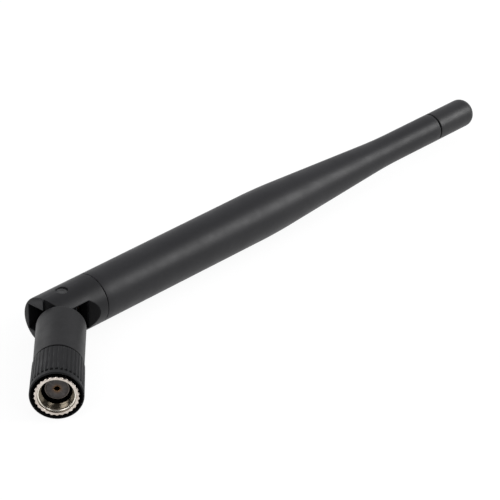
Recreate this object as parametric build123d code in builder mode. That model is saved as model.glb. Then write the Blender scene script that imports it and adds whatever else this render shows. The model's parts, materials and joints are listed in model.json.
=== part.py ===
from build123d import *
import os
from math import sin, cos, radians, tan, sqrt

os.makedirs("parts", exist_ok=True)

# Tilt-and-swivel dipole antenna with a reverse-polarity SMA plug.
# Millimetres. Origin: centre of the plug's reference plane. The connector axis
# is Y, with the mating side towards -Y. +Z is the hinge axis. The blade stands
# at the 45 degree detent of the hinge.

# ---------------------------------------------------------------- dimensions
BEND = 45.0            # hinge angle at rest, 0 is straight
PIVOT_Y = 26.3         # reference plane to hinge axis

# blade, measured along its own axis from the hinge axis
YOKE_END = -5.2       # free end of the hinge yoke
YOKE_EDGE = 0.35       # rounding of that end's outer edge
SEAM_T = 7.36          # yoke to radome seam
TAPER_START = 55.4
TAPER_END = 90.7
TIP_SEAM = 106.9
TIP_END = 118.7
BLADE_R = 5.0
NECK_R = 3.0
TIP_R = 2.99
WALL = 1.0             # radome wall
BLEND_R = 150.0        # softening arcs at the ends of the taper
TIP_ROUND = 1.75

# hinge
SLOT_HALF = 2.62       # half width of the yoke slot at its back wall
SLOT_DRAFT = 2.3       # degrees, the slot widens towards its open side
SLOT_BACK = -3.6       # inner face of the yoke's back wall
SLOT_T = 3.2           # floor of the slot
RELIEF_C0, RELIEF_T0 = 4.08, 3.2
RELIEF_C1, RELIEF_T1 = 5.0, 5.15
EAR_R = 4.85           # rounded ends of the ears, about the hinge axis
EAR_FROM = 0.45        # the rounded ends begin with a step this far from the blade axis
TONGUE_HALF = 2.50
TONGUE_R = 2.85
CABLE_SLOT_HALF = 0.85
PIN_R = 1.10
PIN_CLEAR = 0.05
PIN_OUT = 4.72         # outer end of each stub pin
SPIGOT_R = 3.97
SPIGOT_T = 13.4

# knuckle
KNUCKLE_R = 4.72
KNUCKLE_Y0 = 7.20      # end face beside the grip
KNUCKLE_Y1 = 21.0      # shoulder beside the hinge
BUSH_BORE_R = 3.2
BUSH_BORE_Y = 14.4
BACK_BORE_R = 1.75
BACK_BORE_Y = 19.5
CABLE_BORE_R = 0.9

# plug
BARREL_R = 2.30
INSUL_R = 2.05
FLANGE_R = 2.75
FLANGE_Y0, FLANGE_Y1 = 3.5, 4.1
SHANK_R = 2.25
SHANK_Y = 14.2
CONTACT_R = 0.635
SOCKET_R = 0.47
SOCKET_DEPTH = 2.8
CRIMP_STUB_R = 1.05

# coupling nut and grip
NUT_Y0, NUT_Y1 = -2.6, 5.9
NUT_TIP_R, NUT_ROOT_R = 4.17, 3.93
NUT_TEETH = 26
MOUTH_R = 3.48
THREAD_R = 2.82        # minor radius of the 1/4-36 thread
THREAD_RELIEF_R = 3.2  # major radius
THREAD_Y0, THREAD_Y1 = -1.35, -0.15
NUT_BACK_Y = 4.15
RUN = 0.05             # radial running clearance
GRIP_Y0, GRIP_Y1 = -2.4, 7.05
GRIP_R_FRONT, GRIP_R_BACK = 5.0, 4.86
GRIP_BORE_R = 4.2
FLUTES = 36
FLUTE_R = 0.30
FLUTE_AT = 5.02
FLUTE_END_Y = -1.1

# coaxial cable, layer by layer
COND_R, DIEL_R, BRAID_R, JACKET_R = 0.15, 0.42, 0.50, 0.685
FLEX = 3.5             # cable length each side of the pivot that bends

# ---------------------------------------------------------------- frames
A = radians(BEND)
PIVOT = Vector(0, PIVOT_Y, 0)
ALONG = Vector(sin(A), cos(A), 0)            # along the blade, away from the hinge
ACROSS = Vector(cos(A), -sin(A), 0)          # towards the slot's open side
BLADE = Plane(origin=PIVOT, x_dir=ACROSS, z_dir=(0, 0, 1))   # local x across, local y along
BLADE_AXIS = Axis(origin=PIVOT, direction=ALONG)
HINGE = Plane(origin=PIVOT, x_dir=(1, 0, 0), z_dir=(0, 0, 1))


def station(t):
    """Cross-section plane of the blade at distance t from the hinge axis."""
    return Plane(origin=PIVOT + ALONG * t, x_dir=ACROSS, z_dir=ALONG)


def section(y):
    """Cross-section plane of the connector at y, facing +Y."""
    return Plane(origin=(0, y, 0), x_dir=(1, 0, 0), z_dir=(0, 1, 0))


# ---------------------------------------------------------------- blade shell
# Radome: thin moulded tube, tapered between two cylinders.
t0, t1 = SEAM_T + 0.05, TIP_SEAM - 0.08
with BuildPart() as radome_tube:
    with BuildSketch(BLADE):
        with BuildLine():
            outer = FilletPolyline(
                (BLADE_R, t0), (BLADE_R, TAPER_START), (NECK_R, TAPER_END), (NECK_R, t1),
                radius=BLEND_R)
            inner = FilletPolyline(
                (BLADE_R - WALL, t0), (BLADE_R - WALL, TAPER_START),
                (NECK_R - WALL, TAPER_END), (NECK_R - WALL, t1), radius=BLEND_R)
            Line(outer @ 0, inner @ 0)
            Line(outer @ 1, inner @ 1)
        make_face()
    revolve(axis=BLADE_AXIS)
    ends = radome_tube.edges().filter_by(GeomType.CIRCLE)
    fillet([e for e in ends if e.radius > BLADE_R - 0.01 and (e.center() - PIVOT).dot(ALONG) < t0 + 0.01], 0.08)
    fillet([e for e in radome_tube.edges().filter_by(GeomType.CIRCLE)
            if abs(e.radius - NECK_R) < 0.01 and (e.center() - PIVOT).dot(ALONG) > t1 - 0.01], 0.10)
radome_tube.part.label = "radome_tube"

# Tip cap: solid plug with a spigot that presses into the tube.
with BuildPart() as tip_cap:
    with BuildSketch(BLADE):
        with BuildLine():
            Polyline((0, TIP_SEAM - 3.9), (NECK_R - WALL - 0.22, TIP_SEAM - 3.9),
                     (NECK_R - WALL - 0.02, TIP_SEAM - 3.5), (NECK_R - WALL - 0.02, TIP_SEAM + 0.08),
                     (TIP_R, TIP_SEAM + 0.08), (TIP_R, TIP_END), (0, TIP_END), close=True)
        make_face()
    revolve(axis=BLADE_AXIS)
    rims = [e for e in tip_cap.edges().filter_by(GeomType.CIRCLE) if abs(e.radius - TIP_R) < 0.01]
    fillet([e for e in rims if (e.center() - PIVOT).dot(ALONG) > TIP_END - 0.01], TIP_ROUND)
    rims = [e for e in tip_cap.edges().filter_by(GeomType.CIRCLE) if abs(e.radius - TIP_R) < 0.01]
    fillet([e for e in rims if (e.center() - PIVOT).dot(ALONG) < TIP_SEAM + 0.1], 0.10)
tip_cap.part.label = "tip_cap"

# Hinge yoke: two ears and a back wall, with a spigot inside the radome.
with BuildPart() as hinge_yoke:
    with BuildSketch(BLADE):
        with BuildLine():
            Polyline((0, YOKE_END), (BLADE_R, YOKE_END), (BLADE_R, SEAM_T - 0.05),
                     (SPIGOT_R, SEAM_T - 0.05), (SPIGOT_R, SPIGOT_T - 0.3),
                     (SPIGOT_R - 0.3, SPIGOT_T), (0, SPIGOT_T), close=True)
        make_face()
    revolve(axis=BLADE_AXIS)
    rims = [e for e in hinge_yoke.edges().filter_by(GeomType.CIRCLE) if abs(e.radius - BLADE_R) < 0.01]
    fillet([e for e in rims if (e.center() - PIVOT).dot(ALONG) < YOKE_END + 0.01], YOKE_EDGE)
    rims = [e for e in hinge_yoke.edges().filter_by(GeomType.CIRCLE) if abs(e.radius - BLADE_R) < 0.01]
    fillet([e for e in rims if (e.center() - PIVOT).dot(ALONG) > SEAM_T - 0.1], 0.08)
    # slot for the tongue
    wide = SLOT_HALF + (6.0 - SLOT_BACK) * tan(radians(SLOT_DRAFT))
    with BuildSketch(station(-7.0)):
        with BuildLine():
            Polyline((SLOT_BACK, -SLOT_HALF), (6.0, -wide), (6.0, wide), (SLOT_BACK, SLOT_HALF), close=True)
        make_face()
    extrude(amount=SLOT_T + 7.0, mode=Mode.SUBTRACT)
    # slanted relief beyond the mouth, for the knuckle's shoulder at full fold
    slope = (RELIEF_T1 - RELIEF_T0) / (RELIEF_C1 - RELIEF_C0)
    with BuildSketch(BLADE):
        with BuildLine():
            Polyline((RELIEF_C0, RELIEF_T0 - 0.2), (RELIEF_C0, RELIEF_T0),
                     (RELIEF_C1 + 0.6, RELIEF_T1 + 0.6 * slope), (RELIEF_C1 + 0.6, RELIEF_T0 - 0.2), close=True)
        make_face()
    extrude(amount=6, both=True, mode=Mode.SUBTRACT)
    # ends of the ears stepped back and rounded about the hinge axis on the open side
    ear_end = -sqrt(EAR_R ** 2 - EAR_FROM ** 2)
    with BuildSketch(BLADE):
        with BuildLine():
            Line((EAR_FROM, ear_end), (EAR_FROM, -7))
            Line((EAR_FROM, -7), (7, -7))
            Line((7, -7), (7, 0))
            Line((7, 0), (EAR_R, 0))
            RadiusArc((EAR_R, 0), (EAR_FROM, ear_end), EAR_R)
        make_face()
    extrude(amount=6, both=True, mode=Mode.SUBTRACT)
    # pin holes through both ears
    with BuildSketch(HINGE):
        Circle(PIN_R + PIN_CLEAR)
    extrude(amount=6, both=True, mode=Mode.SUBTRACT)
    # flared cable passage
    with BuildSketch(BLADE):
        with BuildLine():
            Polyline((0, SLOT_T - 0.1), (1.65, SLOT_T - 0.1), (0.95, SLOT_T + 1.7),
                     (0.80, SLOT_T + 3.0), (0.80, SPIGOT_T + 1), (0, SPIGOT_T + 1), close=True)
        make_face()
    revolve(axis=BLADE_AXIS, mode=Mode.SUBTRACT)
hinge_yoke.part.label = "hinge_yoke"

# ---------------------------------------------------------------- knuckle
# Knuckle: swivelling barrel with a forked tongue that carries the hinge pins.
with BuildPart() as knuckle_body:
    with BuildSketch(Plane.XY):
        with BuildLine():
            Polyline((0, KNUCKLE_Y0), (KNUCKLE_R, KNUCKLE_Y0), (KNUCKLE_R, KNUCKLE_Y1),
                     (0, KNUCKLE_Y1), close=True)
        make_face()
    revolve(axis=Axis.Y)
    fillet(knuckle_body.edges().filter_by(GeomType.CIRCLE).sort_by(Axis.Y)[-1], 0.35)
    fillet(knuckle_body.edges().filter_by(GeomType.CIRCLE).sort_by(Axis.Y)[0], 0.12)
    with BuildSketch(HINGE):
        Circle(TONGUE_R)
        with Locations((0, (KNUCKLE_Y1 - 1.0 - PIVOT_Y) / 2)):
            Rectangle(2 * TONGUE_R, PIVOT_Y - KNUCKLE_Y1 + 1.0)
    extrude(amount=TONGUE_HALF, both=True)
    # bushing bore, crimp bore and cable bore
    with BuildSketch(Plane.XY):
        with BuildLine():
            Polyline((0, KNUCKLE_Y0 - 1), (BUSH_BORE_R, KNUCKLE_Y0 - 1), (BUSH_BORE_R, BUSH_BORE_Y),
                     (BACK_BORE_R, BUSH_BORE_Y), (BACK_BORE_R, BACK_BORE_Y),
                     (CABLE_BORE_R, BACK_BORE_Y + 0.6), (CABLE_BORE_R, KNUCKLE_Y1 + 0.5),
                     (0, KNUCKLE_Y1 + 0.5), close=True)
        make_face()
    revolve(axis=Axis.Y, mode=Mode.SUBTRACT)
    # cable slot between the cheeks of the tongue
    with BuildSketch(HINGE):
        with Locations((0, (KNUCKLE_Y1 - PIVOT_Y + 4.0) / 2)):
            Rectangle(12, PIVOT_Y - KNUCKLE_Y1 + 4.0)
    extrude(amount=CABLE_SLOT_HALF, both=True, mode=Mode.SUBTRACT)
    # seats for the stub pins
    with BuildSketch(HINGE):
        Circle(PIN_R)
    extrude(amount=3, both=True, mode=Mode.SUBTRACT)
knuckle_body.part.label = "knuckle_body"

# Stub pins: pressed into the cheeks, turning in the ears.
with BuildPart() as hinge_pin_upper:
    with BuildSketch(HINGE.offset(CABLE_SLOT_HALF)):
        Circle(PIN_R)
    extrude(amount=PIN_OUT - CABLE_SLOT_HALF)
    fillet(hinge_pin_upper.edges().group_by(Axis.Z)[-1], 0.15)
hinge_pin_upper.part.label = "hinge_pin_upper"

with BuildPart() as hinge_pin_lower:
    with BuildSketch(HINGE.offset(-PIN_OUT)):
        Circle(PIN_R)
    extrude(amount=PIN_OUT - CABLE_SLOT_HALF)
    fillet(hinge_pin_lower.edges().group_by(Axis.Z)[0], 0.15)
hinge_pin_lower.part.label = "hinge_pin_lower"

# Flanged bushing between the knuckle and the plug's shank.
with BuildPart() as swivel_bushing:
    with BuildSketch(Plane.XY):
        with BuildLine():
            Polyline((SHANK_R + RUN, KNUCKLE_Y0 + 0.1), (BUSH_BORE_R, KNUCKLE_Y0 + 0.1),
                     (BUSH_BORE_R, 12.3), (SHANK_R + RUN, 12.3), close=True)
        make_face()
    revolve(axis=Axis.Y)
swivel_bushing.part.label = "swivel_bushing"

# ---------------------------------------------------------------- plug
# Plug body: outer conductor, nut flange, swivel shank and crimp stub.
with BuildPart() as connector_body:
    with BuildSketch(Plane.XY):
        with BuildLine():
            Polyline((INSUL_R, 0), (BARREL_R - 0.08, 0), (BARREL_R, 0.08), (BARREL_R, FLANGE_Y0),
                     (FLANGE_R, FLANGE_Y0), (FLANGE_R, FLANGE_Y1), (SHANK_R, FLANGE_Y1),
                     (SHANK_R, 5.98), (1.98, 5.98), (1.98, 6.42), (SHANK_R, 6.42),
                     (SHANK_R, 12.88), (1.85, 12.88), (1.85, 13.42), (SHANK_R, 13.42),
                     (SHANK_R, SHANK_Y - 0.2), (SHANK_R - 0.2, SHANK_Y), (CRIMP_STUB_R, SHANK_Y),
                     (CRIMP_STUB_R, 17.0), (0.44, 17.0), (0.44, 9.6), (1.36, 9.6),
                     (1.36, 3.6), (INSUL_R, 3.6), close=True)
        make_face()
    revolve(axis=Axis.Y)
connector_body.part.label = "connector_body"

# PTFE insulator around the centre contact.
with BuildPart() as contact_insulator:
    with BuildSketch(Plane.XY):
        with BuildLine():
            Polyline((CONTACT_R, 0), (INSUL_R, 0), (INSUL_R, 3.6), (1.36, 3.6), (1.36, 9.0),
                     (CONTACT_R, 9.0), (CONTACT_R, 5.2), (0.82, 5.2), (0.82, 4.2), (CONTACT_R, 4.2), close=True)
        make_face()
    revolve(axis=Axis.Y)
contact_insulator.part.label = "contact_insulator"

# Centre contact: socket in front, retaining collar, solder cup behind.
with BuildPart() as centre_contact:
    with BuildSketch(Plane.XY):
        with BuildLine():
            Polyline((SOCKET_R + 0.06, 0), (CONTACT_R, 0), (CONTACT_R, 4.2), (0.82, 4.2), (0.82, 5.2),
                     (CONTACT_R, 5.2), (CONTACT_R, 9.3), (0.16, 9.3), (0.16, 7.8), (0, 7.8),
                     (0, SOCKET_DEPTH + 0.25), (SOCKET_R, SOCKET_DEPTH), (SOCKET_R, 0.06), close=True)
        make_face()
    revolve(axis=Axis.Y)
centre_contact.part.label = "centre_contact"

# Sealing gasket in front of the flange.
with BuildPart() as sealing_gasket:
    with BuildSketch(Plane.XY):
        with Locations(((BARREL_R + 2.80) / 2, FLANGE_Y0 - 0.4)):
            RectangleRounded(2.80 - BARREL_R, 0.8, 0.2)
    revolve(axis=Axis.Y)
sealing_gasket.part.label = "sealing_gasket"

# Split ring that keeps the nut on the plug.
with BuildPart() as nut_snap_ring:
    with BuildSketch(section(6.0)):
        Circle(2.9)
        Circle(2.0, mode=Mode.SUBTRACT)
        with Locations((2.5, 0)):
            Rectangle(1.6, 0.7, mode=Mode.SUBTRACT)
    extrude(amount=0.4)
nut_snap_ring.part.label = "nut_snap_ring"

# Spring washer and circlip behind the bushing.
with BuildPart() as swivel_washer:
    with BuildSketch(section(12.4)):
        Circle(3.0)
        Circle(SHANK_R + 0.08, mode=Mode.SUBTRACT)
    extrude(amount=0.4)
swivel_washer.part.label = "swivel_washer"

with BuildPart() as swivel_circlip:
    with BuildSketch(section(12.9)):
        Circle(2.85)
        Circle(1.87, mode=Mode.SUBTRACT)
        with Locations((-2.4, 0)):
            Rectangle(1.8, 0.9, mode=Mode.SUBTRACT)
    extrude(amount=0.5)
swivel_circlip.part.label = "swivel_circlip"

# Crimp ferrule over the braid and the end of the jacket.
with BuildPart() as crimp_ferrule:
    with BuildSketch(Plane.XY):
        with BuildLine():
            Polyline((1.20, 14.5), (1.50, 14.5), (1.50, 17.1), (0.98, 17.8), (0.98, 19.0),
                     (JACKET_R, 19.0), (JACKET_R, 17.7), (1.20, 17.0), close=True)
        make_face()
    revolve(axis=Axis.Y)
crimp_ferrule.part.label = "crimp_ferrule"

# ---------------------------------------------------------------- cable in the knuckle
CABLE_Y = PIVOT_Y - FLEX
with BuildPart() as coax_conductor_lower:
    with BuildSketch(section(7.8)):
        Circle(COND_R)
    extrude(amount=CABLE_Y - 7.8)
coax_conductor_lower.part.label = "coax_conductor_lower"

with BuildPart() as coax_dielectric_lower:
    with BuildSketch(section(9.7)):
        Circle(DIEL_R)
        Circle(COND_R, mode=Mode.SUBTRACT)
    extrude(amount=CABLE_Y - 9.7)
coax_dielectric_lower.part.label = "coax_dielectric_lower"

with BuildPart() as coax_braid_lower:
    with BuildSketch(Plane.XY):
        with BuildLine():
            Polyline((1.06, 14.5), (1.18, 14.5), (1.18, 17.05), (BRAID_R, 17.75), (BRAID_R, CABLE_Y),
                     (DIEL_R, CABLE_Y), (DIEL_R, 17.65), (1.06, 17.02), close=True)
        make_face()
    revolve(axis=Axis.Y)
coax_braid_lower.part.label = "coax_braid_lower"

with BuildPart() as coax_jacket_lower:
    with BuildSketch(section(17.8)):
        Circle(JACKET_R)
        Circle(BRAID_R, mode=Mode.SUBTRACT)
    extrude(amount=CABLE_Y - 17.8)
coax_jacket_lower.part.label = "coax_jacket_lower"

# Flexible stretch through the hinge, one arc tangent to both axes.
FLEX_R = FLEX / tan(A / 2)
with BuildPart() as coax_hinge_flex:
    with BuildSketch(section(CABLE_Y)):
        Circle(JACKET_R)
    revolve(axis=Axis(origin=(FLEX_R, CABLE_Y, 0), direction=(0, 0, -1)), revolution_arc=BEND)
coax_hinge_flex.part.label = "coax_hinge_flex"

# ---------------------------------------------------------------- inside the blade
BALUN_T0, BALUN_T1 = 20.0, 45.5
with BuildPart() as coax_jacket_upper:
    with BuildSketch(station(FLEX)):
        Circle(JACKET_R)
        Circle(BRAID_R, mode=Mode.SUBTRACT)
    extrude(amount=42.0 - FLEX)
coax_jacket_upper.part.label = "coax_jacket_upper"

with BuildPart() as coax_braid_upper:
    with BuildSketch(BLADE):
        with BuildLine():
            Polyline((DIEL_R, FLEX), (BRAID_R, FLEX), (BRAID_R, BALUN_T1), (1.4, BALUN_T1 + 0.02),
                     (1.2, BALUN_T1 + 0.25), (DIEL_R, BALUN_T1 + 0.45), close=True)
        make_face()
    revolve(axis=BLADE_AXIS)
coax_braid_upper.part.label = "coax_braid_upper"

with BuildPart() as coax_dielectric_upper:
    with BuildSketch(station(FLEX)):
        Circle(DIEL_R)
        Circle(COND_R, mode=Mode.SUBTRACT)
    extrude(amount=47.0 - FLEX)
coax_dielectric_upper.part.label = "coax_dielectric_upper"

with BuildPart() as coax_conductor_upper:
    with BuildSketch(station(FLEX)):
        Circle(COND_R)
    extrude(amount=49.0 - FLEX)
coax_conductor_upper.part.label = "coax_conductor_upper"

# Spacer bead that centres the cable above the yoke.
with BuildPart() as lower_spacer:
    with BuildSketch(station(15.0)):
        Circle(BLADE_R - WALL - 0.05)
        Circle(JACKET_R + 0.02, mode=Mode.SUBTRACT)
    extrude(amount=3.0)
    chamfer(lower_spacer.edges().filter_by(GeomType.CIRCLE).filter_by(lambda e: e.radius > 2), 0.3)
lower_spacer.part.label = "lower_spacer"

# Quarter-wave balun: brass cup, open towards the hinge.
with BuildPart() as balun_sleeve:
    with BuildSketch(BLADE):
        with BuildLine():
            Polyline((2.6, BALUN_T0), (2.9, BALUN_T0), (2.9, BALUN_T1), (BRAID_R, BALUN_T1),
                     (BRAID_R, BALUN_T1 - 0.4), (2.6, BALUN_T1 - 0.4), close=True)
        make_face()
    revolve(axis=BLADE_AXIS)
balun_sleeve.part.label = "balun_sleeve"

with BuildPart() as balun_spacer:
    with BuildSketch(station(BALUN_T0 + 0.4)):
        Circle(2.58)
        Circle(JACKET_R + 0.02, mode=Mode.SUBTRACT)
    extrude(amount=2.4)
balun_spacer.part.label = "balun_spacer"

# Upper radiator: one wire with a phasing coil wound into it.
WIRE_R, COIL_R, COIL_T0, COIL_T1 = 0.45, 1.35, 66.0, 80.0
helix = Helix(pitch=2.0, height=COIL_T1 - COIL_T0, radius=COIL_R,
              center=PIVOT + ALONG * COIL_T0, direction=ALONG)
start_dir = ((helix @ 0) - (PIVOT + ALONG * COIL_T0)).normalized()
end_dir = ((helix @ 1) - (PIVOT + ALONG * COIL_T1)).normalized()
with BuildPart() as radiator_wire:
    with BuildSketch(Plane(origin=helix @ 0, z_dir=helix % 0)):
        Circle(WIRE_R)
    sweep(path=helix, is_frenet=True)
    with BuildSketch(Plane(origin=PIVOT + ALONG * COIL_T0, z_dir=start_dir)):
        Circle(WIRE_R)
    extrude(amount=COIL_R + 0.3)
    with BuildSketch(Plane(origin=PIVOT + ALONG * COIL_T1, z_dir=end_dir)):
        Circle(WIRE_R)
    extrude(amount=COIL_R + 0.3)
    with BuildSketch(station(47.5)):
        Circle(WIRE_R)
    extrude(amount=COIL_T0 + 0.3 - 47.5)
    with BuildSketch(station(COIL_T1 - 0.3)):
        Circle(WIRE_R)
    extrude(amount=101.0 - COIL_T1 + 0.3)
    with BuildSketch(station(47.0)):
        Circle(COND_R + 0.01)
    extrude(amount=2.2, mode=Mode.SUBTRACT)
radiator_wire.part.label = "radiator_wire"

# Heat-shrink over the balun's closed end and the feed joint.
with BuildPart() as feed_heat_shrink:
    with BuildSketch(BLADE):
        with BuildLine():
            Polyline((2.92, 41.0), (3.12, 41.0), (3.12, 46.2), (0.75, 49.2), (0.75, 53.0),
                     (0.48, 53.0), (0.48, 49.0), (2.92, 46.0), close=True)
        make_face()
    revolve(axis=BLADE_AXIS)
feed_heat_shrink.part.label = "feed_heat_shrink"

with BuildPart() as coil_former:
    with BuildSketch(station(COIL_T0 + 0.6)):
        Circle(COIL_R - WIRE_R - 0.04)
    extrude(amount=COIL_T1 - COIL_T0 - 1.2)
coil_former.part.label = "coil_former"

with BuildPart() as mid_spacer:
    with BuildSketch(station(57.0)):
        Circle(3.75)
        Circle(WIRE_R + 0.02, mode=Mode.SUBTRACT)
    extrude(amount=2.2)
mid_spacer.part.label = "mid_spacer"

with BuildPart() as top_spacer:
    with BuildSketch(station(96.0)):
        Circle(NECK_R - WALL - 0.04)
        Circle(WIRE_R + 0.02, mode=Mode.SUBTRACT)
    extrude(amount=2.5)
top_spacer.part.label = "top_spacer"

# ---------------------------------------------------------------- nut and grip
# Coupling nut: serrated outside, threaded mouth, back wall running on the shank.
with BuildPart() as coupling_nut:
    with BuildSketch(Plane.XY):
        with BuildLine():
            Polyline((MOUTH_R, NUT_Y0), (NUT_TIP_R - 0.1, NUT_Y0), (NUT_TIP_R, NUT_Y0 + 0.1),
                     (NUT_TIP_R, NUT_Y1), (SHANK_R + RUN, NUT_Y1), (SHANK_R + RUN, NUT_BACK_Y),
                     (THREAD_RELIEF_R, NUT_BACK_Y), (THREAD_RELIEF_R, THREAD_Y1),
                     (THREAD_R, THREAD_Y1), (THREAD_R, THREAD_Y0), (3.28, THREAD_Y0 - 0.46),
                     (3.34, NUT_Y0 + 0.35), close=True)
        make_face()
    revolve(axis=Axis.Y)
    depth = NUT_TIP_R - NUT_ROOT_R
    half = NUT_TIP_R * sin(radians(180 / NUT_TEETH)) * 0.92
    with BuildSketch(section(NUT_Y0 - 0.1)):
        with PolarLocations(0, NUT_TEETH):
            with BuildLine():
                Polyline((NUT_ROOT_R, 0), (NUT_TIP_R + 0.05, half * 1.2), (NUT_TIP_R + 0.05, -half * 1.2), close=True)
            make_face()
    extrude(amount=NUT_Y1 - NUT_Y0 + 0.2, mode=Mode.SUBTRACT)
coupling_nut.part.label = "coupling_nut"

# Grip sleeve: fluted plastic shell pressed over the nut.
with BuildPart() as grip_sleeve:
    with BuildSketch(Plane.XY):
        with BuildLine():
            Polyline((GRIP_BORE_R, GRIP_Y0), (GRIP_R_FRONT - 0.32, GRIP_Y0), (GRIP_R_FRONT, GRIP_Y0 + 0.32),
                     (GRIP_R_BACK, GRIP_Y1 - 0.12), (GRIP_R_BACK - 0.12, GRIP_Y1), (SHANK_R + 0.2, GRIP_Y1),
                     (SHANK_R + 0.2, 6.5), (3.2, 6.5), (3.2, NUT_Y1 + 0.02), (GRIP_BORE_R, NUT_Y1 + 0.02), close=True)
        make_face()
    revolve(axis=Axis.Y)
    with BuildSketch(section(FLUTE_END_Y)):
        with PolarLocations(FLUTE_AT, FLUTES):
            Circle(FLUTE_R)
    extrude(amount=GRIP_Y1 - FLUTE_END_Y + 0.2, mode=Mode.SUBTRACT)
grip_sleeve.part.label = "grip_sleeve"

# ---------------------------------------------------------------- export
export_step(radome_tube.part, "parts/radome_tube.step")
export_step(tip_cap.part, "parts/tip_cap.step")
export_step(hinge_yoke.part, "parts/hinge_yoke.step")
export_step(knuckle_body.part, "parts/knuckle_body.step")
export_step(hinge_pin_upper.part, "parts/hinge_pin_upper.step")
export_step(hinge_pin_lower.part, "parts/hinge_pin_lower.step")
export_step(swivel_bushing.part, "parts/swivel_bushing.step")
export_step(connector_body.part, "parts/connector_body.step")
export_step(contact_insulator.part, "parts/contact_insulator.step")
export_step(centre_contact.part, "parts/centre_contact.step")
export_step(sealing_gasket.part, "parts/sealing_gasket.step")
export_step(nut_snap_ring.part, "parts/nut_snap_ring.step")
export_step(swivel_washer.part, "parts/swivel_washer.step")
export_step(swivel_circlip.part, "parts/swivel_circlip.step")
export_step(crimp_ferrule.part, "parts/crimp_ferrule.step")
export_step(coax_conductor_lower.part, "parts/coax_conductor_lower.step")
export_step(coax_dielectric_lower.part, "parts/coax_dielectric_lower.step")
export_step(coax_braid_lower.part, "parts/coax_braid_lower.step")
export_step(coax_jacket_lower.part, "parts/coax_jacket_lower.step")
export_step(coax_hinge_flex.part, "parts/coax_hinge_flex.step")
export_step(coax_jacket_upper.part, "parts/coax_jacket_upper.step")
export_step(coax_braid_upper.part, "parts/coax_braid_upper.step")
export_step(coax_dielectric_upper.part, "parts/coax_dielectric_upper.step")
export_step(coax_conductor_upper.part, "parts/coax_conductor_upper.step")
export_step(lower_spacer.part, "parts/lower_spacer.step")
export_step(balun_sleeve.part, "parts/balun_sleeve.step")
export_step(balun_spacer.part, "parts/balun_spacer.step")
export_step(radiator_wire.part, "parts/radiator_wire.step")
export_step(feed_heat_shrink.part, "parts/feed_heat_shrink.step")
export_step(coil_former.part, "parts/coil_former.step")
export_step(mid_spacer.part, "parts/mid_spacer.step")
export_step(top_spacer.part, "parts/top_spacer.step")
export_step(coupling_nut.part, "parts/coupling_nut.step")
export_step(grip_sleeve.part, "parts/grip_sleeve.step")
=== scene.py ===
import bpy, bmesh, json, math
import numpy as np
from math import sin, cos, pi, radians, tan, sqrt
from mathutils import Vector, Matrix


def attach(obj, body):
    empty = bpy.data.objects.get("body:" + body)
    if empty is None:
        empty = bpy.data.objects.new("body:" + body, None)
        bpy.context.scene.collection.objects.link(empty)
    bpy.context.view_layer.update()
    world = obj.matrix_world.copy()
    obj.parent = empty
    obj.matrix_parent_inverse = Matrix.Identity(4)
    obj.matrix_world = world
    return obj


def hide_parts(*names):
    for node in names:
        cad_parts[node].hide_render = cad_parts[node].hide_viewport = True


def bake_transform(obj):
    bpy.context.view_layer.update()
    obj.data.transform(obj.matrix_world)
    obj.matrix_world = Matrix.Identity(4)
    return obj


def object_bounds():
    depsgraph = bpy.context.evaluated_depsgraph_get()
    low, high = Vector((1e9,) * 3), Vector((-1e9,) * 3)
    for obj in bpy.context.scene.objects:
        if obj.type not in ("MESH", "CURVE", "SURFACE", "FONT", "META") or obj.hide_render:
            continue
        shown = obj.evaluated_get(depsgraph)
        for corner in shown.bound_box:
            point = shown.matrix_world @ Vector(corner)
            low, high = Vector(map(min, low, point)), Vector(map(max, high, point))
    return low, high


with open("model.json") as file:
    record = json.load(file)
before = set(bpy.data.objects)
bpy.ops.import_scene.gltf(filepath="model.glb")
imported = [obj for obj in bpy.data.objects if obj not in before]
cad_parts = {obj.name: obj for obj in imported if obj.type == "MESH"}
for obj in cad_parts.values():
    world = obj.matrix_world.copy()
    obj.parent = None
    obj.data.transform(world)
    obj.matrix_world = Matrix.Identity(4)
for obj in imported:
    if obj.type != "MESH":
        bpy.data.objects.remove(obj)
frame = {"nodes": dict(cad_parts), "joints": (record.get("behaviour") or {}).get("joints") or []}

MM = 0.001
cad_low, cad_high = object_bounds()
nodes = frame["nodes"]

# ------------------------------------------------------------------ frames
joints = {j["name"]: j for j in frame["joints"]}
PIVOT = Vector(joints["tilt"]["pos_m"])
ORIGIN = Vector((0, 0, 0))
Z = Vector((0, 0, 1))
ALONG = Vector((1, 1, 0)).normalized()       # blade axis, away from the hinge
ACROSS = Vector((1, -1, 0)).normalized()     # the hinge slot's open side


class Turn:
    """A turning axis: origin, axis and the direction of angle 0, sizes in mm."""

    def __init__(self, origin, axis, side):
        self.o, self.a, self.u = Vector(origin), Vector(axis).normalized(), Vector(side).normalized()
        self.v = self.a.cross(self.u)

    def at(self, r, h, ang):
        return self.o + (self.a * h + (self.u * cos(ang) + self.v * sin(ang)) * r) * MM


PLUG = Turn(ORIGIN, (0, 1, 0), (1, 0, 0))
BLADE = Turn(PIVOT, ALONG, ACROSS)
PIN = Turn(PIVOT, Z, (1, 0, 0))


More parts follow.
